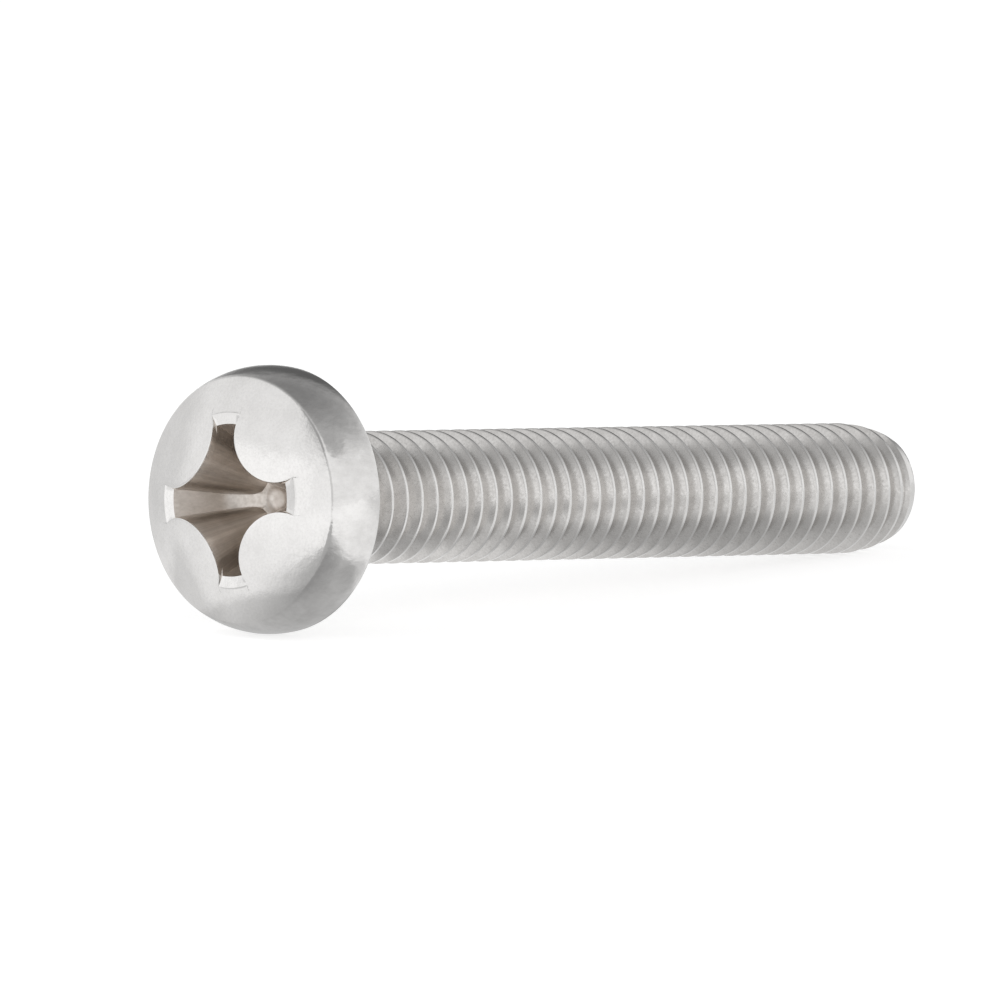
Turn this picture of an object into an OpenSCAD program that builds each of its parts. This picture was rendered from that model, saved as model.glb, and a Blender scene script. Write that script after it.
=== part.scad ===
// Machine screw with a domed pan head, a cross recess and a full metric thread.
// It is modelled upright, with the seat of the head at z = 0 and the tip pointing
// down, and is then laid on its side the way it comes to rest on a table.

/* [Thread] */
// Diameter over the crests of the thread
thread_d = 5.97; // [4:0.01:8]
// Distance from one crest to the next
pitch = 1; // [0.7:0.05:1.25]
// Depth of the thread, as a share of the pitch
thread_depth = 0.6134; // [0.5:0.0001:0.65]
// Width of the flat on a crest, as a share of the pitch
crest_flat = 0.125; // [0.08:0.005:0.2]
// Angle between a flank and a plane across the axis
flank_angle = 30; // [25:1:32]
// Number of facets round one turn of the thread
turn_steps = 24; // [16:2:30]

/* [Shank] */
// Length from the seat of the head to the tip
length = 40.4; // [20:0.1:60]
// How far the plain neck lies below the crests of the thread
neck_drop = 0.31; // [0:0.01:0.6]
// Length of the plain neck
neck_l = 1; // [0.5:0.1:3]
// Length over which the thread grows out of the neck
run_out = 1; // [0.5:0.1:2]
// Radius of the fillet between the neck and the seat
fillet_r = 0.6; // [0.3:0.05:1]
// Length of the rounded tip
tip_l = 2.8; // [1:0.1:5]
// How far the rim of the flat end lies below the crests of the thread
tip_drop = 0.485; // [0.2:0.005:1.2]

/* [Head] */
// Diameter of the head at its widest
head_d = 12; // [10:0.1:16]
// Height of the side band, from the seat to the crease
side_h = 2.85; // [2.2:0.05:3.6]
// Height of the dome above the crease
dome_h = 1.35; // [0.8:0.05:2]
// How far the side band leans in, from its widest line to the crease
side_drop = 0.45; // [0.2:0.05:1]
// Height at which the barrel-shaped side band is widest
belly_h = 0.9; // [0.6:0.05:1.2]
// Radius of the rounded edge round the seat
rim_r = 0.25; // [0.1:0.05:0.4]
// Radius of the rounded crease between the side band and the dome
crease_r = 0.3; // [0.1:0.05:0.6]

/* [Cross recess] */
// Diameter over the ends of the wings
wings_d = 6.8; // [5:0.1:7.5]
// Depth over which the ends of the wings slope in
wing_depth = 2.6; // [2:0.1:3]
// Angle between the axis and the sloping end of a wing
wing_slope = 26.5; // [24:0.5:30]
// Width of a wing at the top of the dome
wing_w = 1.42; // [1.1:0.02:1.7]
// Angle by which each side of a wing leans in
wing_taper = 7.1; // [4:0.1:8]
// Distance between opposite corners at the top of the dome
core_w = 4.06; // [3.4:0.02:4.4]
// Angle by which the nose of each corner leans in
core_taper = 18.8; // [14:0.1:19]
// Diameter of the round pit at the bottom
pit_d = 1.3; // [0.8:0.1:1.6]
// Depth of the pit below the cone of the floor
pit_depth = 0.2; // [0.1:0.05:0.3]
// Slope of the floor from the wings down to the pit
floor_slope = 17; // [10:1:20]
// Radius of the rounded foot between the end of a wing and the floor
foot_r = 1.5; // [0.5:0.1:2]
// Width of the shallow lip round the end of each wing
lip_w = 0.5; // [0.3:0.05:0.7]
// How far the lip slopes down towards the end of the wing
lip_fall = 0.06; // [0.02:0.01:0.2]
// Turn of the cross about the axis, as the screw lies
cross_turn = 7; // [-45:0.1:45]

/* [Colour] */
// Colour of the bare stainless steel
steel = "#c9c8c5"; // ["#c9c8c5", "#b9b9b9", "#8f8a80"]

/* [Hidden] */

// Smoothness of the turned surfaces
$fn = 96;

// Head: the side band is an arc through its widest line and the crease
crease_d = head_d - 2 * side_drop;
side_rise = side_h - belly_h;
side_r = (side_drop * side_drop + side_rise * side_rise) / (2 * side_drop);
side_x = head_d / 2 - side_r;

// Head: the dome is a sphere through the crease and the middle of the head
head_h = side_h + dome_h;
dome_r = (crease_d * crease_d / 4 + dome_h * dome_h) / (2 * dome_h);
function dome_drop(r) = dome_r - sqrt(dome_r * dome_r - r * r);

// Head: centre of the rounded edge, which touches the seat and the side arc
rim_x = side_x + sqrt(pow(side_r - rim_r, 2) - pow(belly_h - rim_r, 2));

// Head: centre of the rounded crease, which touches the dome and the side arc
dome_at = [0, head_h - dome_r];
side_at = [side_x, belly_h];
apart = norm(side_at - dome_at);
along = (side_at - dome_at) / apart;
foot = (pow(dome_r - crease_r, 2) - pow(side_r - crease_r, 2) + apart * apart) / (2 * apart);
out = sqrt(pow(dome_r - crease_r, 2) - foot * foot);
crease_at = dome_at + foot * along + out * [along.y, -along.x];

// Fillet under the head: the arc sinks this deep into the neck and the seat
fillet_sink = 0.03;
neck_d = thread_d - 2 * neck_drop;
fillet_x = neck_d / 2 + fillet_r - fillet_sink;

// Thread: the four corners of one pitch, counted down from the upper crest edge
crest_r = thread_d / 2;
root_r = crest_r - thread_depth * pitch;
flank_l = thread_depth * pitch * tan(flank_angle);
crest_l = crest_flat * pitch;
corner_z = [0, crest_l, crest_l + flank_l, pitch - flank_l];
corner_r = [crest_r, crest_r, root_r, root_r];
corners = len(corner_z);

// Thread: rows of corners, from inside the head to beyond the tip
bury = 0.27;
turns = ceil((length + bury) / pitch) + 1;
rows = corners * turns;

// Tip: its outline is an arc that leaves the crests smoothly
tip_d = thread_d - 2 * tip_drop;
tip_arc = (tip_l * tip_l + tip_drop * tip_drop) / (2 * tip_drop);
function tip_limit(down) = down < length - tip_l ? crest_r
    : crest_r - tip_arc
        + sqrt(tip_arc * tip_arc - pow(min(down, length + pitch / 4) - length + tip_l, 2));

// Radius of the shank's surface at a corner of the thread, some way down from the seat
function grown(down) = min(1, max(0, (down - neck_l) / run_out));
function shank_r(corner, down) =
    min(tip_limit(down), neck_d / 2 + (corner_r[corner] - neck_d / 2) * grown(down));

// Right-handed rows: each step round the axis climbs by its share of the pitch
function shank_point(step, row) =
    let (
        rise = bury + pitch * step / turn_steps,
        down = floor(row / corners) * pitch + corner_z[row % corners] - rise,
        r = shank_r(row % corners, down),
        a = 360 * step / turn_steps
    )
    [r * cos(a), r * sin(a), -down];

// Recess: half width of a wing, and distance of a corner's nose from the axis
function wing_half(depth) = wing_w / 2 - depth * tan(wing_taper);
function nose_reach(depth) = core_w / 2 - depth * tan(core_taper);

// Recess: radius and centre of the round nose that meets two wings at a tangent
function nose_centre(depth) = (nose_reach(depth) - wing_half(depth)) / (sqrt(2) - 1);
function nose_r(depth) = nose_centre(depth) - wing_half(depth);

// Recess: levels as depth below the dome's top, radius over the wings, and whether
// the sides of the wings flare out along the nose arc
lip_r = wings_d / 2 + lip_w;
lip_top = dome_drop(lip_r) - 0.02;
lip_bottom = lip_top + lip_fall;
floor_top = lip_bottom + wing_depth;
floor_d = wings_d - 2 * wing_depth * tan(wing_slope);
floor_l = (floor_d - pit_d) / 2 / cos(floor_slope);
pit_top = floor_top + floor_l * sin(floor_slope);
pit_bottom = pit_top + pit_depth;

// Recess: the rounded foot is an arc that touches the floor and the wing's sloping end,
// cut into this many steps
foot_steps = 5;
foot_turn = 90 - wing_slope - floor_slope;
foot_round = min(foot_r, 0.9 * floor_l / tan(foot_turn / 2));
foot_l = foot_round * tan(foot_turn / 2);
foot_x = floor_d / 2 - foot_l * cos(floor_slope) - foot_round * sin(floor_slope);
foot_depth = floor_top + foot_l * sin(floor_slope) - foot_round * cos(floor_slope);
function foot_level(share) =
    let (a = 90 - wing_slope - foot_turn * share)
    [foot_depth + foot_round * cos(a), foot_x + foot_round * sin(a), false];
levels = [
    [-0.5, lip_r, true],
    [lip_top, lip_r, true],
    [lip_bottom, wings_d / 2, false],
    for (i = [0:foot_steps]) foot_level(i / foot_steps),
    [pit_top, pit_d / 2, false],
    [pit_bottom, pit_d / 3, false]
];

// Recess: shares of the nose arc at which an outline has its points
nose_shares = [0.96, 0.8, 0.6, 0.4, 0.2, 0];

function clipped(p, r) = norm(p) > r ? p * r / norm(p) : p;

// Half of one quadrant's outline, from the middle of a wing to the corner's nose
function half_outline(level) =
    let (
        depth = level[0],
        r = level[1],
        half = wing_half(depth),
        c = nose_centre(depth),
        nose = nose_r(depth),
        reach = c * sqrt(2),
        cut = (reach * reach + nose * nose - r * r) / (2 * reach * nose),
        meet = acos(max(-1, min(1, cut))),
        span = level[2] ? meet : min(45, max(25, meet)),
        on_arc = function (share)
            clipped([c, c] + nose * [cos(225 + span * share), sin(225 + span * share)], r),
        straight = !level[2] && meet > 45
    )
    concat(
        [[r, 0], straight ? [sqrt(r * r - half * half), half] : on_arc(1)],
        [for (share = nose_shares) on_arc(share)]
    );

// One quadrant, made from the half outline and its mirror image in the diagonal
function quadrant(level) =
    let (half = half_outline(level), n = len(half))
    concat(half, [for (i = [n - 2:-1:1]) [half[i].y, half[i].x]]);

function ring(level) = [
    for (turn = [0:90:270], p = quadrant(level))
        [
            p.x * cos(turn) - p.y * sin(turn),
            p.x * sin(turn) + p.y * cos(turn),
            head_h - level[0]
        ]
];

// Rest: the head's belly and the rounding of the tip touch the table
touch_down = length - 0.7 * tip_l;
touch_out = tip_limit(touch_down) - side_x;
touch_span = norm([touch_down + belly_h, touch_out]);
rest_tilt = asin(side_r / touch_span) - atan(touch_out / (touch_down + belly_h));
rest_lift = touch_down * sin(rest_tilt) + tip_limit(touch_down) * cos(rest_tilt);
rest_shift = ((length - head_h) * cos(rest_tilt) + tip_d / 2 * sin(rest_tilt)) / 2;

// Section of the solid head, to the right of the axis
module head_section() {
    difference() {
        intersection() {
            square([head_d, head_h]);
            translate(dome_at) circle(r = dome_r);
            union() {
                translate(side_at) circle(r = side_r);
                square([crease_d * 0.4, head_h]);
            }
        }
        rounded_corner([rim_x, rim_r], rim_r, [0, -1], [rim_x, rim_r] - side_at);
        rounded_corner(crease_at, crease_r, crease_at - side_at, crease_at - dome_at);
    }
}

// What a rounding takes off a corner of the section, between its two points of contact
module rounded_corner(centre, r, first, second) {
    translate(centre)
        difference() {
            polygon([[0, 0], 4 * r * first / norm(first), 4 * r * second / norm(second)]);
            circle(r = r);
        }
}

module head() {
    rotate_extrude() head_section();
}

// Fillet between the neck and the seat of the head
module neck_fillet() {
    rotate_extrude()
        difference() {
            translate([neck_d / 4, fillet_sink - fillet_r])
                square([fillet_x - neck_d / 4, fillet_r]);
            translate([fillet_x, fillet_sink - fillet_r]) circle(r = fillet_r);
        }
}

// Neck, thread and tip in one skin that winds down the axis
module thread_skin() {
    n = turn_steps;
    last = rows - 1;
    points = concat(
        [for (step = [0:n - 1], row = [0:last]) shank_point(step, row)],
        [[0, 0, bury + pitch / 2], [0, 0, shank_point(n / 2, last).z]]
    );
    top = n * rows;
    bottom = top + 1;
    // One step past the last, the rows carry on in the first column a pitch higher
    function at(step, row) = step < n ? step * rows + row : row - corners;
    sides = [
        for (step = [0:n - 1], row = [step < n - 1 ? 0 : corners:last - 1])
            for (half = [0, 1])
                half == 0
                    ? [at(step, row), at(step + 1, row + 1), at(step, row + 1)]
                    : [at(step, row), at(step + 1, row), at(step + 1, row + 1)]
    ];
    top_rim = concat(
        [for (step = [0:n - 1]) at(step, 0)],
        [for (row = [1:corners]) at(n - 1, row)]
    );
    bottom_rim = concat(
        [for (row = [last - corners:last]) at(0, row)],
        [for (step = [1:n - 1]) at(step, last)]
    );
    polyhedron(points, concat(
        sides,
        [for (i = [0:len(top_rim) - 1])
            [top, top_rim[(i + 1) % len(top_rim)], top_rim[i]]],
        [for (i = [0:len(bottom_rim) - 1])
            [bottom, bottom_rim[i], bottom_rim[(i + 1) % len(bottom_rim)]]]
    ));
}

// The skin, cut off square at the tip
module shank() {
    difference() {
        thread_skin();
        translate([0, 0, -length - 4 * pitch]) cylinder(d = 2 * thread_d, h = 4 * pitch);
    }
}

// The space that the driver bit fills, lofted through its levels
module cross_recess() {
    rings = [for (level = levels) ring(level)];
    n = len(rings[0]);
    last = len(levels) - 1;
    points = concat(
        [for (r = rings) each r],
        [[0, 0, head_h - levels[0][0]], [0, 0, head_h - pit_bottom]]
    );
    top = n * len(levels);
    bottom = top + 1;
    function next(i) = (i + 1) % n;
    polyhedron(points, concat(
        [for (k = [0:last - 1], i = [0:n - 1], half = [0, 1])
            half == 0
                ? [k * n + i, (k + 1) * n + next(i), (k + 1) * n + i]
                : [k * n + i, k * n + next(i), (k + 1) * n + next(i)]],
        [for (i = [0:n - 1]) [top, next(i), i]],
        [for (i = [0:n - 1]) [bottom, last * n + i, last * n + next(i)]]
    ));
}

// The whole screw, laid down so that its head and tip touch the table
module screw() {
    color(steel)
        translate([-rest_shift, 0, rest_lift])
            rotate([0, rest_tilt - 90, 0])
                difference() {
                    union() {
                        head();
                        neck_fillet();
                        shank();
                    }
                    rotate([0, 0, cross_turn]) cross_recess();
                }
}

screw();
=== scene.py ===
from math import acos, asin, atan, atan2, cos, hypot, pi, radians, sin, sqrt, tan

import bmesh
import bpy
from mathutils import Matrix, Vector


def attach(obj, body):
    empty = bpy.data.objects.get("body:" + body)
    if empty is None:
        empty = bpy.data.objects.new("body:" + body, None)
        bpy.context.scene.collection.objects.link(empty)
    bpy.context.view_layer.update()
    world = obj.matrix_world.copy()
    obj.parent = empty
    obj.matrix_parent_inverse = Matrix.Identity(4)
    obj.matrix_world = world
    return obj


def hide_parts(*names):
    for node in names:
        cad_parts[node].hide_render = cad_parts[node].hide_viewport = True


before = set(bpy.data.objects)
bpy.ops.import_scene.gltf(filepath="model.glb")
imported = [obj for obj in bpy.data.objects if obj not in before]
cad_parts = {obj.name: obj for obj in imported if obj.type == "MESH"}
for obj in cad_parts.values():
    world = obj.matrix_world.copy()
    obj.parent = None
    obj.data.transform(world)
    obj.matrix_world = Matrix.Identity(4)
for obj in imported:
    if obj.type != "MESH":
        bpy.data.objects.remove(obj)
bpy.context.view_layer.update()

MM = 0.001

# Sizes of the screw in millimetres, as in the part's source. The depth of the thread and the
# flat on its crest are shares of the pitch.
THREAD_D, PITCH, THREAD_DEPTH, CREST_FLAT = 5.97, 1.0, 0.6134, 0.125
FLANK_ANGLE = radians(30)
LENGTH, NECK_DROP, NECK_L, RUN_OUT = 40.4, 0.31, 1.0, 1.0
FILLET_R, FILLET_SINK = 0.6, 0.03
TIP_L, TIP_DROP = 2.8, 0.485
HEAD_D, SIDE_H, DOME_H = 12.0, 2.85, 1.35
SIDE_DROP, BELLY_H, RIM_R, CREASE_ROUND = 0.45, 0.9, 0.25, 0.3
WINGS_D, WING_DEPTH, WING_SLOPE = 6.8, 2.6, radians(26.5)
WING_W, WING_TAPER, CORE_W, CORE_TAPER = 1.42, radians(7.1), 4.06, radians(18.8)
PIT_D, PIT_DEPTH, FLOOR_SLOPE, FOOT_ROUND = 1.3, 0.2, radians(17), 1.5
LIP_W, LIP_FALL, LIP_SINK, CROSS_TURN = 0.5, 0.06, 0.02, radians(7)
# How far the first crest starts above the seat, which sets where the crests lie
BURY = 0.27
# Where the rounding of the tip touches the table, as a share of its length from the end
TIP_TOUCH = 0.7

# Small forms in millimetres that only this finer mesh has: the half width of the rounding
# round the recess's mouth, with the share of it that is cut back, then the height of the tip's
# edge and the depth of the hollow in its flat end
MOUTH_EDGE, MOUTH_CUT = 0.05, 0.15
TIP_EDGE, TIP_HOLLOW = 0.06, 0.09
# How far below the crests' outline the thread takes the brighter crest colour, a painted highlight
CREST_HIGHLIGHT_BAND = 0.03
# The flat end of the tip: how far from the seat, and how far in from the tip's edge
TIP_RINGS = [
    (LENGTH - 0.02, 0.02),
    (LENGTH, 0.07),
    (LENGTH, 0.3),
    (LENGTH - 0.05, 1.2),
    (LENGTH - 0.08, 2.0),
]
# The pit: share of its radius, and height above its bottom
PIT_RINGS = [(0.2, 0.0), (0.45, 0.003), (0.62, 0.015), (0.76, 0.06), (0.88, 0.13)]

# How finely the mesh is cut: points along an eighth of the recess's outline
END_POINTS, FLANK_POINTS, NOSE_POINTS = 4, 6, 14
COLUMNS = 8 * (END_POINTS + FLANK_POINTS + NOSE_POINTS)
THREAD_COLUMNS = COLUMNS // 2
# Gap between the fillet's last ring and the first row of the shank
NECK_GAP = 0.05
# Rings on the recess's floor, foot and walls, on its lips, on the dome and on the seat
FLOOR_STEPS, FOOT_STEPS = 4, 8
WALL_SHARES = [0.18, 0.36, 0.54, 0.7, 0.84, 0.93, 0.98, 1.0]
LIP_SHARES = [0.08, 0.3, 0.6, 0.9]
DOME_SHARES = [0, 0.03, 0.07, 0.13, 0.2, 0.28, 0.37, 0.46, 0.55, 0.64, 0.73, 0.82, 0.91, 1.0]
SEAT_SHARES = [0.03, 0.35, 0.7, 0.97]
CREASE_STEPS, SIDE_STEPS, RIM_STEPS, FILLET_STEPS = 6, 12, 6, 6
# Rows over one pitch, as shares of it: over the crest, a flank, the root and the other flank
CREST_ROWS = [0.007, 0.02, 0.0625, 0.105, 0.118, 0.132, 0.15]
FLANK_ROWS = [0.26, 0.38]
ROOT_ROWS = [0.43, 0.485, 0.5625, 0.64, 0.695]
BACK_ROWS = [0.76, 0.86, 0.965, 0.993]
PITCH_ROWS = CREST_ROWS + FLANK_ROWS + ROOT_ROWS + BACK_ROWS
# How softly the crest and the root turn into the flank, as a share of the flank
CREST_SOFT, ROOT_SOFT = 0.02, 0.16
# Vertices closer than this become one, and shorter edges than this go
WELD, SLIVER = 1e-5, 1e-6
SHARP_ANGLE = radians(40)

# Sizes that follow from the others
CREST_R = THREAD_D / 2
NECK_R = CREST_R - NECK_DROP
TIP_R = CREST_R - TIP_DROP
HEAD_H = SIDE_H + DOME_H
CREASE_R = HEAD_D / 2 - SIDE_DROP
DOME_R = (CREASE_R ** 2 + DOME_H ** 2) / (2 * DOME_H)
SIDE_RISE = SIDE_H - BELLY_H
SIDE_R = (SIDE_DROP ** 2 + SIDE_RISE ** 2) / (2 * SIDE_DROP)
SIDE_X = HEAD_D / 2 - SIDE_R
SIDE_IN = SIDE_R - RIM_R
RIM_X = SIDE_X + sqrt(SIDE_IN ** 2 - (BELLY_H - RIM_R) ** 2)
SIDE_END = -atan2(BELLY_H - RIM_R, RIM_X - SIDE_X)
FILLET_X = NECK_R + FILLET_R - FILLET_SINK
FILLET_Z = FILLET_SINK - FILLET_R
FILLET_TURN = asin(-FILLET_Z / FILLET_R)
SEAT_IN = FILLET_X - FILLET_R * cos(FILLET_TURN)
FILLET_END = -FILLET_Z - FILLET_R * cos(FILLET_TURN)
FLANK_L = THREAD_DEPTH * PITCH * tan(FLANK_ANGLE)
TIP_ARC = (TIP_L ** 2 + TIP_DROP ** 2) / (2 * TIP_DROP)

# Material slots of the mesh, in the order of the finishes; the floor is the recess's
DOME_SLOT, SIDE_SLOT, WALL_SLOT, THREAD_SLOT, FLOOR_SLOT, CREST_SLOT = range(6)


def dome_drop(r):
    """How far the dome lies below its top, at a distance from the axis."""
    return DOME_R - sqrt(DOME_R ** 2 - r * r)


LIP_R = WINGS_D / 2 + LIP_W
LIP_TOP = dome_drop(LIP_R) - LIP_SINK
LIP_BOTTOM = LIP_TOP + LIP_FALL
FLOOR_TOP = LIP_BOTTOM + WING_DEPTH
FLOOR_R = WINGS_D / 2 - WING_DEPTH * tan(WING_SLOPE)


# The recess. Its outlines are cut at a depth below the top of the dome. With flare, the sides
# of a wing spread out to its end, as they do where the lip is.

def clipped(p, r):
    size = hypot(*p)
    return (p[0] * r / size, p[1] * r / size) if size > r else p


def half_outline(depth, r, flare):
    """Points from the middle of a wing round to the nose between two wings."""
    half = WING_W / 2 - depth * tan(WING_TAPER)
    reach = CORE_W / 2 - depth * tan(CORE_TAPER)
    c = (reach - half) / (sqrt(2) - 1)
    nose = c - half
    diag = c * sqrt(2)
    cut = (diag * diag + nose * nose - r * r) / (2 * diag * nose)
    meet = acos(max(-1.0, min(1.0, cut)))
    # The nose's arc spans at least this angle on each side, also where the wings are short
    quarter, least = pi / 4, radians(25)
    full = min(quarter, max(least, meet))

    def on_arc(angle):
        a = pi * 5 / 4 + angle
        return clipped((c + nose * cos(a), c + nose * sin(a)), r)

    def along_side(share):
        if flare and meet > quarter:
            return on_arc(quarter + (meet - quarter) * share)
        start = on_arc(full)
        if meet <= quarter:
            return start
        end = (sqrt(r * r - half * half), half)
        return (start[0] + (end[0] - start[0]) * share, start[1] + (end[1] - start[1]) * share)

    corner = along_side(1.0)
    turn = atan2(corner[1], corner[0])
    size = hypot(*corner)
    points = [
        (size * cos(turn * i / END_POINTS), size * sin(turn * i / END_POINTS))
        for i in range(END_POINTS)
    ]
    points += [along_side(1 - i / FLANK_POINTS) for i in range(FLANK_POINTS)]
    points += [on_arc(full * (1 - i / NOSE_POINTS)) for i in range(NOSE_POINTS)]
    return points, on_arc(0.0)


def outline(depth, r, flare=False):
    """The whole outline of the recess at a level, anticlockwise from the first wing."""
    half, nose = half_outline(depth, r, flare)
    quadrant = half + [nose] + [(y, x) for x, y in reversed(half[1:])]
    ring = []
    for k in range(4):
        a = pi / 2 * k + CROSS_TURN
        ring += [(x * cos(a) - y * sin(a), x * sin(a) + y * cos(a)) for x, y in quadrant]
    return [(x, y, HEAD_H - depth) for x, y in ring]


def mix(a, b, t):
    return tuple(p + (q - p) * t for p, q in zip(a, b))


def circle(r, z):
    """A ring on a surface of revolution, in step with the outline's points."""
    angles = [CROSS_TURN + 2 * pi * i / COLUMNS for i in range(COLUMNS)]
    return [(r * cos(a), r * sin(a), z) for a in angles]


def pushed_out(ring, by):
    """The ring moved outwards in its plane, square to its own line."""
    n = len(ring)
    moved = []
    for i, p in enumerate(ring):
        before, after = ring[i - 2], ring[(i + 2) % n]
        dx, dy = after[0] - before[0], after[1] - before[1]
        size = hypot(dx, dy) or 1.0
        moved.append((p[0] + by * dy / size, p[1] - by * dx / size, p[2]))
    return moved


def mouth(extra=0.0):
    """Where the walls of the recess meet the dome, or a little way further down."""
    # The walls are drawn from this far above the top of the dome, and cut where they meet it
    above = 0.5
    upper, lower = outline(-above, LIP_R, True), outline(LIP_TOP, LIP_R, True)
    ring = []
    for a, b in zip(upper, lower):
        lo, hi = 0.0, 1.0
        for _ in range(30):
            t = (lo + hi) / 2
            p = mix(a, b, t)
            if HEAD_H - p[2] < dome_drop(hypot(p[0], p[1])):
                lo = t
            else:
                hi = t
        ring.append(mix(a, b, min(1.0, lo + extra / (LIP_TOP + above))))
    return ring


def on_dome(ring):
    return [(x, y, HEAD_H - dome_drop(hypot(x, y))) for x, y, _ in ring]


def arc_rings(cx, cz, r, start, end, count):
    """Rings along an arc of the section, given by its centre, radius and two angles."""
    return [
        circle(cx + r * cos(a), cz + r * sin(a))
        for a in (start + (end - start) * i / count for i in range(count + 1))
    ]


# The parts of the skin from the bottom of the recess to the neck, as lists of rings

def recess_section():
    """Depth and radius from the pit's edge, round the rounded foot of a wing, up to the lip."""
    slope, floor = pi / 2 - WING_SLOPE, FLOOR_SLOPE
    reach = FOOT_ROUND * tan((slope - floor) / 2)
    foot = Vector((FLOOR_R - reach * cos(floor), FLOOR_TOP + reach * sin(floor)))
    centre = foot + FOOT_ROUND * Vector((-sin(floor), -cos(floor)))
    pit_r = PIT_D / 2
    pit_top = FLOOR_TOP + (FLOOR_R - pit_r) * tan(floor)
    pit_edge, foot_start = (pit_top, pit_r), (foot.y, foot.x)
    points = [mix(pit_edge, foot_start, i / FLOOR_STEPS) for i in range(FLOOR_STEPS)]
    for i in range(FOOT_STEPS + 1):
        a = floor + (slope - floor) * i / FOOT_STEPS
        points.append((centre.y + FOOT_ROUND * cos(a), centre.x + FOOT_ROUND * sin(a)))
    foot_end, lip = points[-1], (LIP_BOTTOM, WINGS_D / 2)
    return points + [mix(foot_end, lip, t) for t in WALL_SHARES]


def recess_rings():
    pit_z = HEAD_H - recess_section()[0][0] - PIT_DEPTH
    rings = [circle(PIT_D / 2 * share, pit_z + rise) for share, rise in PIT_RINGS]
    rings += [outline(depth, r) for depth, r in recess_section()]
    inner, outer = outline(LIP_BOTTOM, WINGS_D / 2), outline(LIP_TOP, LIP_R, True)
    rings += [[mix(a, b, t) for a, b in zip(inner, outer)] for t in LIP_SHARES]
    return rings


def crease_centre():
    """Centre of the rounding that touches both the dome and the side band, and the angles
    at which it leaves the one and meets the other."""
    dome, side = Vector((0, HEAD_H - DOME_R)), Vector((SIDE_X, BELLY_H))
    apart = (side - dome).length
    along = (side - dome) / apart
    to_dome, to_side = DOME_R - CREASE_ROUND, SIDE_R - CREASE_ROUND
    foot = (to_dome ** 2 - to_side ** 2 + apart ** 2) / (2 * apart)
    centre = dome + along * foot + Vector((along.y, -along.x)) * sqrt(to_dome ** 2 - foot ** 2)
    from_dome, from_side = centre - dome, centre - side
    return centre, atan2(from_dome.y, from_dome.x), atan2(from_side.y, from_side.x)


CREASE_AT, DOME_END, SIDE_START = crease_centre()


def dome_rings():
    """The rounded edge of the recess's mouth and the dome out to the crease."""
    edge = mouth()
    lower, upper = mouth(MOUTH_EDGE), on_dome(pushed_out(edge, MOUTH_EDGE))
    turn = [
        tuple(q + (a + b - 2 * q) * MOUTH_CUT for q, a, b in zip(*points))
        for points in zip(edge, lower, upper)
    ]
    outer = circle(DOME_R * cos(DOME_END), HEAD_H)
    spread = [on_dome([mix(a, b, t) for a, b in zip(upper, outer)]) for t in DOME_SHARES]
    return [lower, turn] + spread


def head_side_rings():
    """The rounded crease, the barrel-shaped side, the rim, the seat and the fillet."""
    rings = arc_rings(*CREASE_AT, CREASE_ROUND, DOME_END, SIDE_START, CREASE_STEPS)[1:]
    rings += arc_rings(SIDE_X, BELLY_H, SIDE_R, SIDE_START, SIDE_END, SIDE_STEPS)[1:]
    rings += arc_rings(RIM_X, RIM_R, RIM_R, SIDE_END, -pi / 2, RIM_STEPS)[1:]
    rings += [circle(RIM_X + (SEAT_IN - RIM_X) * t, 0.0) for t in SEAT_SHARES]
    start, end = pi - FILLET_TURN, pi / 2 + FILLET_TURN
    return rings + arc_rings(FILLET_X, FILLET_Z, FILLET_R, start, end, FILLET_STEPS)


# Joining rings of vertices

def add_ring(bm, points):
    return [bm.verts.new(p) for p in points]


def bridge(bm, upper, lower, slot, end_slot=None):
    """Joins two rings; the faces at the ends of the wings may have a slot of their own."""
    n = len(upper)
    quarter = n // 4
    for i in range(n):
        face = bm.faces.new((upper[i], lower[i], lower[(i + 1) % n], upper[(i + 1) % n]))
        at_end = i % quarter < END_POINTS or i % quarter >= quarter - END_POINTS
        face.material_index = end_slot if at_end and end_slot is not None else slot


def fan(bm, ring, point, slot, flip=False):
    centre = bm.verts.new(point)
    n = len(ring)
    for i in range(n):
        a, b = ring[i], ring[(i + 1) % n]
        face = bm.faces.new((centre, b, a) if flip else (centre, a, b))
        face.material_index = slot


# The thread

def soft_clamp(t, width):
    """Clamps to 0..1 with corners rounded over this share of the ramp."""
    if t < width:
        return 0.0 if t < -width else (t + width) ** 2 / (4 * width)
    if t > 1 - width:
        return 1.0 if t > 1 + width else 1 - (1 + width - t) ** 2 / (4 * width)
    return t


def thread_r(phase):
    """Radius of the full thread at a share of the pitch past the crest's upper edge."""
    middle = CREST_FLAT / 2
    away = abs((phase - middle + 0.5) % 1.0 - 0.5) * PITCH
    ramp = (away - middle * PITCH) / FLANK_L
    fall = soft_clamp(ramp, CREST_SOFT if ramp < 0.5 else ROOT_SOFT)
    return CREST_R - THREAD_DEPTH * PITCH * fall


def tip_limit(down):
    """The largest radius of the shank at a distance below the seat."""
    if down < LENGTH - TIP_L:
        return CREST_R
    return CREST_R - TIP_ARC + sqrt(TIP_ARC ** 2 - (min(down, LENGTH) - LENGTH + TIP_L) ** 2)


def shank_r(down, angle):
    phase = ((down + BURY) / PITCH + angle / (2 * pi)) % 1.0
    grown = min(1.0, max(0.0, (down - NECK_L) / RUN_OUT))
    full = thread_r(phase)
    return min(tip_limit(down), NECK_R + (full - NECK_R) * grown)


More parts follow.
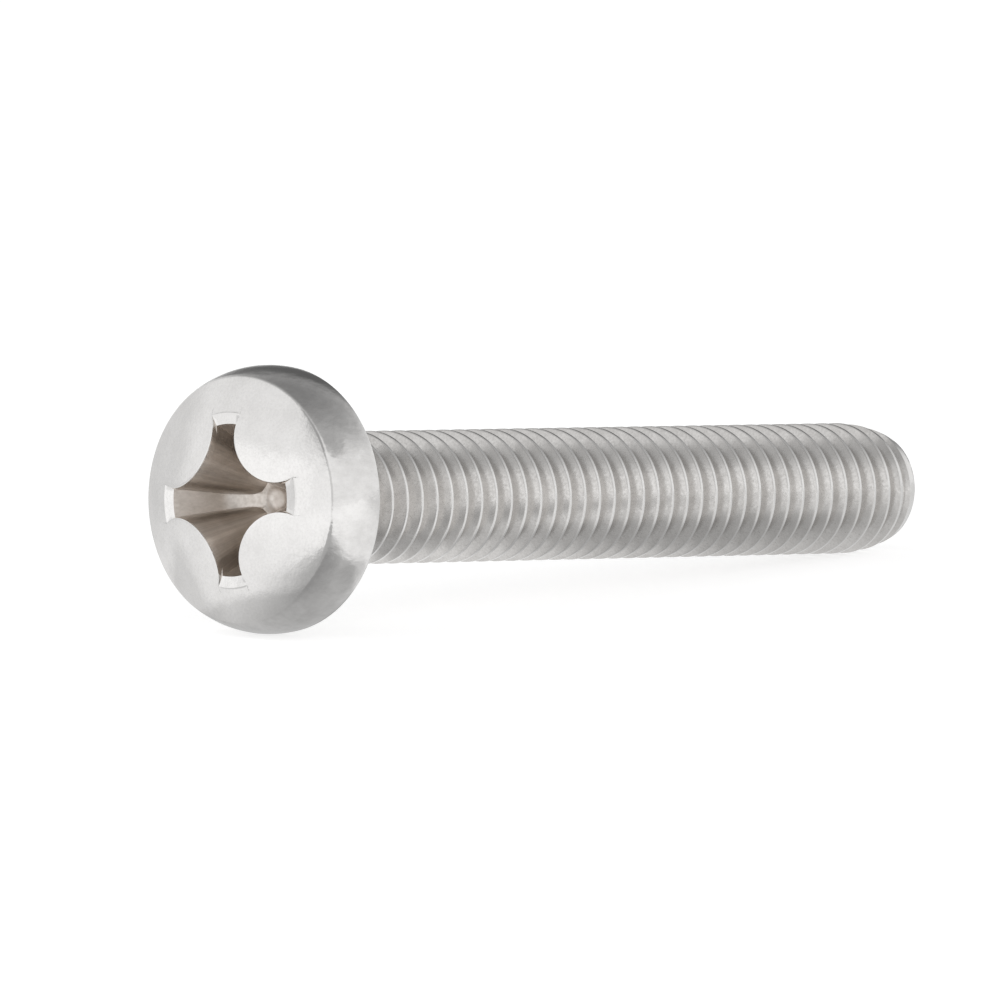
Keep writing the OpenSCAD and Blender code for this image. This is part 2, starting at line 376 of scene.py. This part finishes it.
def shank_mesh(bm, ring):
    """Winds the thread down from the neck's ring of vertices and returns the tip's ring."""
    n = THREAD_COLUMNS
    first, last = FILLET_END + NECK_GAP, LENGTH - TIP_EDGE
    per = len(PITCH_ROWS)
    # Rows enough for every column to reach both ends, where the spare ones fall together
    count = (int((LENGTH + BURY) / PITCH) + 3) * per
    step = 2 * pi / n
    columns = []
    for j in range(n):
        angle = CROSS_TURN + step * j
        column = []
        for k in range(count):
            phase = k // per + PITCH_ROWS[k % per]
            down = min(last, max(first, (phase - angle / (2 * pi)) * PITCH - BURY))
            if column and column[-1][0] == down:
                column.append(column[-1])
                continue
            r = shank_r(down, angle)
            column.append((down, bm.verts.new((r * cos(angle), r * sin(angle), -down))))
        columns.append(column)
    # One turn on, the rows carry on in the first column a pitch higher
    columns.append([columns[0][0]] * per + columns[0][:count - per])
    for j in range(n):
        for k in range(count - 1):
            face = []
            for v in (
                columns[j][k][1], columns[j][k + 1][1],
                columns[j + 1][k + 1][1], columns[j + 1][k][1],
            ):
                if v not in face:
                    face.append(v)
            if len(face) > 2:
                bm.faces.new(face)
    # The neck's ring has two vertices for each column of the thread
    top = [columns[j][0][1] for j in range(n)]
    for j in range(n):
        a, b, c = ring[2 * j], ring[2 * j + 1], ring[(2 * j + 2) % (2 * n)]
        bm.faces.new((a, b, top[j]))
        bm.faces.new((b, c, top[(j + 1) % n]))
        bm.faces.new((b, top[(j + 1) % n], top[j]))
    return [columns[j][count - 1][1] for j in range(n)]


def end_mesh(bm, ring):
    """Closes the flat end of the tip."""
    for down, inset in TIP_RINGS:
        inner = []
        for v in ring:
            shrink = (TIP_R - inset) / hypot(v.co.x, v.co.y)
            inner.append(bm.verts.new((v.co.x * shrink, v.co.y * shrink, -down)))
        bridge(bm, ring, inner, THREAD_SLOT)
        ring = inner
    fan(bm, ring, (0, 0, TIP_HOLLOW - LENGTH), THREAD_SLOT, flip=True)


# The whole mesh

def head_mesh(bm):
    """Builds the recess, the dome and the side, and returns the neck's ring of vertices."""
    rings = [add_ring(bm, r) for r in recess_rings()]
    fan(bm, rings[0], (0, 0, rings[0][0].co.z), FLOOR_SLOT)
    lip_start = len(rings) - 1 - len(LIP_SHARES)
    for i, (a, b) in enumerate(zip(rings, rings[1:])):
        if i < len(PIT_RINGS):
            bridge(bm, a, b, FLOOR_SLOT)
        else:
            bridge(bm, a, b, WALL_SLOT, DOME_SLOT if i >= lip_start else FLOOR_SLOT)
    dome = [add_ring(bm, r) for r in dome_rings()]
    bridge(bm, rings[-1], dome[0], WALL_SLOT, DOME_SLOT)
    for a, b in zip(dome, dome[1:]):
        bridge(bm, a, b, DOME_SLOT)
    side = [add_ring(bm, r) for r in head_side_rings()]
    bridge(bm, dome[-1], side[0], DOME_SLOT)
    for a, b in zip(side, side[1:]):
        bridge(bm, a, b, SIDE_SLOT)
    return side[-1]


def rest_matrix():
    """How the screw lies: the head's belly and the rounding of the tip touch the table."""
    touch = LENGTH - TIP_TOUCH * TIP_L
    out = tip_limit(touch) - SIDE_X
    span = hypot(touch + BELLY_H, out)
    tilt = asin(SIDE_R / span) - atan(out / (touch + BELLY_H))
    lift = touch * sin(tilt) + tip_limit(touch) * cos(tilt)
    shift = ((LENGTH - HEAD_H) * cos(tilt) + TIP_R * sin(tilt)) / 2
    turn = Matrix.Rotation(tilt - pi / 2, 4, "Y")
    return Matrix.Scale(MM, 4) @ Matrix.Translation((-shift, 0, lift)) @ turn


def screw_mesh(rest):
    bm = bmesh.new()
    neck = head_mesh(bm)
    shank_start = len(bm.faces)
    end_mesh(bm, shank_mesh(bm, neck))
    bm.faces.ensure_lookup_table()
    # Faces near the crests' outline get the brighter crest colour, a painted highlight on the
    # crests
    for face in bm.faces[shank_start:]:
        painted_bright = all(hypot(v.co.x, v.co.y) > tip_limit(-v.co.z) - CREST_HIGHLIGHT_BAND for v in face.verts)
        face.material_index = CREST_SLOT if painted_bright else THREAD_SLOT
    bmesh.ops.remove_doubles(bm, verts=bm.verts, dist=WELD)
    bmesh.ops.dissolve_degenerate(bm, dist=SLIVER, edges=bm.edges)
    bmesh.ops.recalc_face_normals(bm, faces=bm.faces)
    bm.transform(rest)
    for face in bm.faces:
        face.smooth = True
    mesh = bpy.data.meshes.new("screw_body")
    bm.to_mesh(mesh)
    mesh.set_sharp_from_angle(angle=SHARP_ANGLE)
    bm.free()
    return mesh


# Bare steel. Each finish has a pair of colours, a pair of roughnesses, the grain per mm, its
# scale along the axis (less than 1 draws it out), the height of the grain and of the broad
# dents in mm, and by how much of its width at the dome the grain draws together for each mm
# of depth, as the walls of the recess do.
# The colours of the thread, the recess and the recess's floor are darkened as painted shade, and
# the crests' colour is brightened as a painted highlight
PLAIN = (0.79, 0.78, 0.77)
FINISHES = {
    "steel_dome": dict(
        colour=(PLAIN, (0.72, 0.71, 0.70)), roughness=(0.06, 0.15),
        grain=8.0, streak=1.0, bump=0.005, wave=0.012,
    ),
    "steel_side": dict(
        colour=(PLAIN, (0.69, 0.68, 0.67)), roughness=(0.07, 0.18),
        grain=3.0, streak=0.6, bump=0.012, wave=0.02,
    ),
    # The recess's darker, browner colours hold painted shade in the recess
    "steel_recess_painted_shade": dict(
        colour=((0.76, 0.705, 0.655), (0.54, 0.495, 0.45)), roughness=(0.28, 0.42),
        grain=6.0, streak=0.03, bump=0.006, wave=0.004,
        narrowing=2 * tan(CORE_TAPER) / CORE_W,
    ),
    # The thread's darker colours are painted shade in the grooves between the crests
    "steel_thread_painted_shade": dict(
        colour=((0.72, 0.705, 0.69), (0.60, 0.585, 0.57)), roughness=(0.15, 0.3),
        grain=9.0, streak=1.0, bump=0.0015, wave=0.006,
    ),
    # The recess floor's darker, browner colours hold painted shade in the recess
    "steel_floor_painted_shade": dict(
        colour=((0.74, 0.69, 0.65), (0.61, 0.565, 0.52)), roughness=(0.3, 0.44),
        grain=7.0, streak=0.3, bump=0.003, wave=0.004,
    ),
    # The crests' brighter colour is a painted highlight
    "steel_crest_painted_highlight": dict(
        colour=((0.81, 0.80, 0.79), (0.73, 0.72, 0.71)), roughness=(0.14, 0.3),
        grain=12.0, streak=1.0, bump=0.003, wave=0.004,
    ),
}
# Clouds and dents per mm, and the stretch of the noise over which the finish changes
CLOUD_SCALE, DENT_SCALE = 0.9, 1.6
TINT_ENDS, ROUGH_ENDS = (0.38, 0.62), (0.3, 0.7)


def add(nodes, kind, **values):
    """Adds a node, with values for its own settings or for the inputs of the same name."""
    node = nodes.new(kind)
    for name, value in values.items():
        if hasattr(node, name):
            setattr(node, name, value)
        else:
            node.inputs[name.replace("_", " ")].default_value = value
    return node


def ranged(nodes, links, value, ends, results=(0.0, 1.0), kind="SMOOTHSTEP"):
    """Carries a value from between two ends over to between two results."""
    node = add(
        nodes, "ShaderNodeMapRange", interpolation_type=kind,
        From_Min=ends[0], From_Max=ends[1], To_Min=results[0], To_Max=results[1],
    )
    links.new(value, node.inputs["Value"])
    return node.outputs["Result"]


def empty_material(name):
    """A material without nodes."""
    mat = bpy.data.materials.new(name)
    mat.use_nodes = True
    mat.node_tree.nodes.clear()
    return mat


def drawn_together(nodes, links, lay, narrowing):
    """The place in the screw's axes, widened as the recess narrows, so that lines converge."""
    parts = add(nodes, "ShaderNodeSeparateXYZ")
    links.new(lay, parts.inputs["Vector"])
    width = add(nodes, "ShaderNodeMath", operation="MULTIPLY_ADD")
    width.inputs[1].default_value = narrowing
    width.inputs[2].default_value = 1 - narrowing * HEAD_H
    links.new(parts.outputs["Z"], width.inputs[0])
    widths = add(nodes, "ShaderNodeCombineXYZ", Z=1.0)
    links.new(width.outputs[0], widths.inputs["X"])
    links.new(width.outputs[0], widths.inputs["Y"])
    wider = add(nodes, "ShaderNodeVectorMath", operation="DIVIDE")
    links.new(lay, wider.inputs[0])
    links.new(widths.outputs["Vector"], wider.inputs[1])
    return wider.outputs["Vector"]


def steel(name, rest, colour, roughness, grain, streak, bump, wave, narrowing=0.0):
    """Bare steel with one of the finishes, laid out in the screw's own axes."""
    mat = bpy.data.materials.new(name)
    mat.use_nodes = True
    nodes, links = mat.node_tree.nodes, mat.node_tree.links
    shader = nodes["Principled BSDF"]
    shader.inputs["Metallic"].default_value = 1.0
    coords = add(nodes, "ShaderNodeTexCoord")
    to_screw = add(
        nodes, "ShaderNodeMapping", vector_type="TEXTURE",
        Location=rest.translation, Rotation=rest.to_euler(), Scale=(MM, MM, MM),
    )
    links.new(coords.outputs["Object"], to_screw.inputs["Vector"])
    lay = to_screw.outputs["Vector"]
    pull = add(nodes, "ShaderNodeMapping", vector_type="POINT", Scale=(1, 1, streak))
    pulled = drawn_together(nodes, links, lay, narrowing) if narrowing else lay
    links.new(pulled, pull.inputs["Vector"])

    def noise(source, scale, detail):
        node = add(nodes, "ShaderNodeTexNoise", Scale=scale, Detail=detail, Roughness=0.6)
        links.new(source, node.inputs["Vector"])
        return node.outputs["Fac"]

    cloud, fine = noise(lay, CLOUD_SCALE, 3.0), noise(pull.outputs["Vector"], grain, 4.0)
    both = add(nodes, "ShaderNodeMix", data_type="FLOAT", Factor=0.5)
    links.new(cloud, both.inputs["A"])
    links.new(fine, both.inputs["B"])
    tint = add(nodes, "ShaderNodeValToRGB")
    for element, place, shade in zip(tint.color_ramp.elements, TINT_ENDS, colour):
        element.position, element.color = place, (*shade, 1)
    links.new(both.outputs["Result"], tint.inputs["Fac"])
    links.new(tint.outputs["Color"], shader.inputs["Base Color"])
    rough = ranged(nodes, links, fine, ROUGH_ENDS, roughness, "LINEAR")
    links.new(rough, shader.inputs["Roughness"])
    dents = add(nodes, "ShaderNodeBump", Distance=wave * MM, Strength=1.0)
    links.new(noise(lay, DENT_SCALE, 1.0), dents.inputs["Height"])
    raised = add(nodes, "ShaderNodeBump", Distance=bump * MM, Strength=1.0)
    links.new(fine, raised.inputs["Height"])
    links.new(dents.outputs["Normal"], raised.inputs["Normal"])
    links.new(raised.outputs["Normal"], shader.inputs["Normal"])
    return mat


# The camera, and directions that are given from it
CAMERA_TURN, CAMERA_RISE = radians(48.2954), radians(6.9798)
FOCAL_PX, FRAME_PX, SENSOR = 24257.13, 1000, 36.0
CAMERA_AT = (-812.7607 * MM, -721.0456 * MM, 137.2464 * MM)


def toward(azimuth, elevation, distance):
    """A point seen from the screw at an angle right of the camera's line, and above."""
    a, e = CAMERA_TURN + radians(azimuth), radians(elevation)
    return (distance * sin(a) * cos(e), distance * cos(a) * cos(e), distance * sin(e))


def make_camera():
    data = bpy.data.cameras.new("camera")
    data.sensor_width = SENSOR
    data.lens = SENSOR * FOCAL_PX / FRAME_PX
    data.clip_start, data.clip_end = 0.01, 50.0
    camera = bpy.data.objects.new("camera", data)
    bpy.context.scene.collection.objects.link(camera)
    right = Vector((cos(CAMERA_TURN), -sin(CAMERA_TURN), 0))
    ahead = Vector((
        sin(CAMERA_TURN) * cos(CAMERA_RISE), cos(CAMERA_TURN) * cos(CAMERA_RISE), -sin(CAMERA_RISE)
    ))
    up = right.cross(ahead)
    turn = Matrix((right, up, -ahead)).transposed().to_4x4()
    camera.matrix_world = Matrix.Translation(CAMERA_AT) @ turn
    bpy.context.scene.camera = camera


# The studio, in metres. The floor and the card on it, a painted reflection of the table, lie just
# under the screw.
FLOOR_HALF, FLOOR_Z = 4.0, -1e-5
FLOOR_PAINT, FLOOR_GLOW = (0.82, 0.82, 0.82, 1), 0.6
CARD_R, CARD_CORNERS, CARD_Z = 3.9, 64, -5e-6
# The card on the table is a painted reflection of the lit table, brighter before the screw than
# behind it: distances in mm along the camera's line, and the brightness at each
CARD_FALL, CARD_LIGHT = (-40, 17), (1.14, 0.78)
# Its darker patches are painted shade on the table near the screw: middle and half sizes in mm,
# turn in degrees, out to what share of the half sizes the patch is even, and how much light it
# keeps
PAINTED_SHADOW_END = 1.08
TABLE_PAINTED_SHADOWS = [
    ((-32.8, -17.1), (21.6, 10.8), 48, 0.7, 0.48),
    ((-20.3, -4), (5.4, 8.3), 2, 0.8, 0.73),
    ((-15.5, -7), (3.4, 3), -5, 0.34, 0.72),
    ((2.4, -2.75), (22.6, 3.35), 0, 0.3, 0.53),
    ((-22.4, 7.2), (2.4, 16), 22, 0.4, 0.81),
    ((-15.3, -1.3), (3.2, 3), 0, 0.4, 0.66),
]
# The room dims towards a line nearly overhead: its azimuth and elevation, and the grey at
# angles in degrees from the plane that is square to it
ROOM_TOP = (16, 68)
ROOM_STOPS = [(13.5, 1.0), (32, 0.92), (53, 0.45), (81, 0.27)]
# Its soft round patches: azimuth and elevation, inner and outer angle in degrees, and grey
ROOM_PATCHES = [
    (-50, 5, 8, 28, 0.8),
    (5, 21, 4, 27.5, 0.13),
    (-158, 43, 12, 26, 0.45),
    (111, 47, 5, 17, 0.5),
    (-178, 12, 9, 25, 0.76),
    (-155, 6, 5, 15, 1.1),
]
LAMP_TOWARD, LAMP_SIZE, LAMP_RADIANCE = (-118, 4, 0.6), (0.5, 0.35), 0.18
LAMP_AIM = (0, 0, 0.005)


def flat_object(name, corners, mat):
    """One flat face on the table."""
    mesh = bpy.data.meshes.new(name)
    mesh.from_pydata(corners, [], [tuple(range(len(corners)))])
    mesh.materials.append(mat)
    flat = bpy.data.objects.new(name, mesh)
    bpy.context.scene.collection.objects.link(flat)
    return flat


def glow_for_view(nodes, links, base, strength):
    """Adds light to a surface only where the camera, metal or glass sees it."""
    path = add(nodes, "ShaderNodeLightPath")
    seen = path.outputs["Is Camera Ray"]
    for ray in ("Is Glossy Ray", "Is Transmission Ray"):
        larger = add(nodes, "ShaderNodeMath", operation="MAXIMUM")
        links.new(seen, larger.inputs[0])
        links.new(path.outputs[ray], larger.inputs[1])
        seen = larger.outputs[0]
    glow = add(nodes, "ShaderNodeEmission", Color=(1, 1, 1, 1))
    scaled = add(nodes, "ShaderNodeMath", operation="MULTIPLY")
    scaled.inputs[1].default_value = strength
    links.new(seen, scaled.inputs[0])
    links.new(scaled.outputs[0], glow.inputs["Strength"])
    both = add(nodes, "ShaderNodeAddShader")
    links.new(base, both.inputs[0])
    links.new(glow.outputs[0], both.inputs[1])
    return both.outputs[0]


def make_floor():
    mat = empty_material("floor_white")
    nodes, links = mat.node_tree.nodes, mat.node_tree.links
    paint = add(nodes, "ShaderNodeBsdfDiffuse", Color=FLOOR_PAINT)
    out = add(nodes, "ShaderNodeOutputMaterial")
    surface = glow_for_view(nodes, links, paint.outputs[0], FLOOR_GLOW)
    links.new(surface, out.inputs["Surface"])
    corners = [(-1, -1), (1, -1), (1, 1), (-1, 1)]
    places = [(x * FLOOR_HALF, y * FLOOR_HALF, FLOOR_Z) for x, y in corners]
    flat_object("floor", places, mat)


def make_painted_reflection_card():
    """A card on the table that only the steel mirrors: it glows as a painted reflection of the
    table, with patches of painted shade near the screw.
    """
    mat = empty_material("card_painted_reflection")
    nodes, links = mat.node_tree.nodes, mat.node_tree.links
    coords = add(nodes, "ShaderNodeTexCoord")
    place = coords.outputs["Object"]
    behind = add(nodes, "ShaderNodeVectorMath", operation="DOT_PRODUCT")
    behind.inputs[1].default_value = tuple(c / MM for c in toward(0, 0, 1.0))
    links.new(place, behind.inputs[0])
    light = ranged(nodes, links, behind.outputs["Value"], CARD_FALL, CARD_LIGHT)
    # Each patch dims the card's glow: painted shade in the reflection
    for (x, y), (a, b), turn, even, kept in TABLE_PAINTED_SHADOWS:
        to_patch = add(
            nodes, "ShaderNodeMapping", vector_type="TEXTURE", Location=(x * MM, y * MM, 0),
            Rotation=(0, 0, radians(turn)), Scale=(a * MM, b * MM, 1),
        )
        links.new(place, to_patch.inputs["Vector"])
        away = add(nodes, "ShaderNodeVectorMath", operation="LENGTH")
        links.new(to_patch.outputs["Vector"], away.inputs[0])
        share = ranged(nodes, links, away.outputs["Value"], (even, PAINTED_SHADOW_END), (kept, 1.0))
        less = add(nodes, "ShaderNodeMath", operation="MULTIPLY")
        links.new(light, less.inputs[0])
        links.new(share, less.inputs[1])
        light = less.outputs[0]
    glow = add(nodes, "ShaderNodeEmission", Color=(1, 1, 1, 1))
    links.new(light, glow.inputs["Strength"])
    out = add(nodes, "ShaderNodeOutputMaterial")
    links.new(glow.outputs[0], out.inputs["Surface"])
    angles = [2 * pi * i / CARD_CORNERS for i in range(CARD_CORNERS)]
    corners = [(CARD_R * cos(a), CARD_R * sin(a), CARD_Z) for a in angles]
    card = flat_object("card_painted_reflection", corners, mat)
    card.visible_camera = False
    card.visible_diffuse = False
    card.visible_shadow = False


def make_lamp():
    """A soft lamp that the underside of the head and the middle of the dome mirror."""
    lamp = bpy.data.lights.new("lamp_left", "AREA")
    lamp.shape = "RECTANGLE"
    lamp.size, lamp.size_y = LAMP_SIZE
    lamp.energy = LAMP_RADIANCE * pi * LAMP_SIZE[0] * LAMP_SIZE[1]
    holder = bpy.data.objects.new("lamp_left", lamp)
    bpy.context.scene.collection.objects.link(holder)
    holder.location = toward(*LAMP_TOWARD)
    aim = Vector(LAMP_AIM) - Vector(holder.location)
    holder.rotation_euler = aim.to_track_quat("-Z", "Y").to_euler()
    holder.visible_camera = False


def make_world():
    """A pale room, dimmer overhead, that the camera sees as plain white."""
    world = bpy.data.worlds.new("studio")
    bpy.context.scene.world = world
    world.use_nodes = True
    nodes, links = world.node_tree.nodes, world.node_tree.links
    nodes.clear()
    coords = add(nodes, "ShaderNodeTexCoord")

    def facing(azimuth, elevation):
        """Cosine of the angle between the line of sight and a direction."""
        node = add(nodes, "ShaderNodeVectorMath", operation="DOT_PRODUCT")
        node.inputs[1].default_value = toward(azimuth, elevation, 1.0)
        links.new(coords.outputs["Generated"], node.inputs[0])
        return node.outputs["Value"]

    ramp = add(nodes, "ShaderNodeValToRGB")
    links.new(facing(*ROOM_TOP), ramp.inputs["Fac"])
    stops = ramp.color_ramp.elements
    stops.new(0.5)
    stops.new(0.8)
    for stop, (angle, grey) in zip(stops, ROOM_STOPS):
        stop.position, stop.color = sin(radians(angle)), (grey, grey, grey, 1)
    room = ramp.outputs["Color"]
    for azimuth, elevation, inner, outer, grey in ROOM_PATCHES:
        edge = cos(radians(outer)), cos(radians(inner))
        blend = add(nodes, "ShaderNodeMix", data_type="RGBA")
        links.new(ranged(nodes, links, facing(azimuth, elevation), edge), blend.inputs["Factor"])
        links.new(room, blend.inputs["A"])
        blend.inputs["B"].default_value = (grey, grey, grey, 1)
        room = blend.outputs["Result"]
    path = add(nodes, "ShaderNodeLightPath")
    seen = add(nodes, "ShaderNodeMix", data_type="RGBA")
    links.new(path.outputs["Is Camera Ray"], seen.inputs["Factor"])
    links.new(room, seen.inputs["A"])
    seen.inputs["B"].default_value = (1, 1, 1, 1)
    back = add(nodes, "ShaderNodeBackground", Strength=1.0)
    links.new(seen.outputs["Result"], back.inputs["Color"])
    out = add(nodes, "ShaderNodeOutputWorld")
    links.new(back.outputs[0], out.inputs["Surface"])


def make_screw():
    rest = rest_matrix()
    mesh = screw_mesh(rest)
    for name, finish in FINISHES.items():
        mesh.materials.append(steel(name, rest, **finish))
    screw = bpy.data.objects.new("screw_body", mesh)
    bpy.context.scene.collection.objects.link(screw)
    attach(screw, "root")
    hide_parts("screw")


bpy.context.scene.view_settings.view_transform = "Standard"
make_screw()
make_floor()
make_world()
make_lamp()
make_painted_reflection_card()
make_camera()
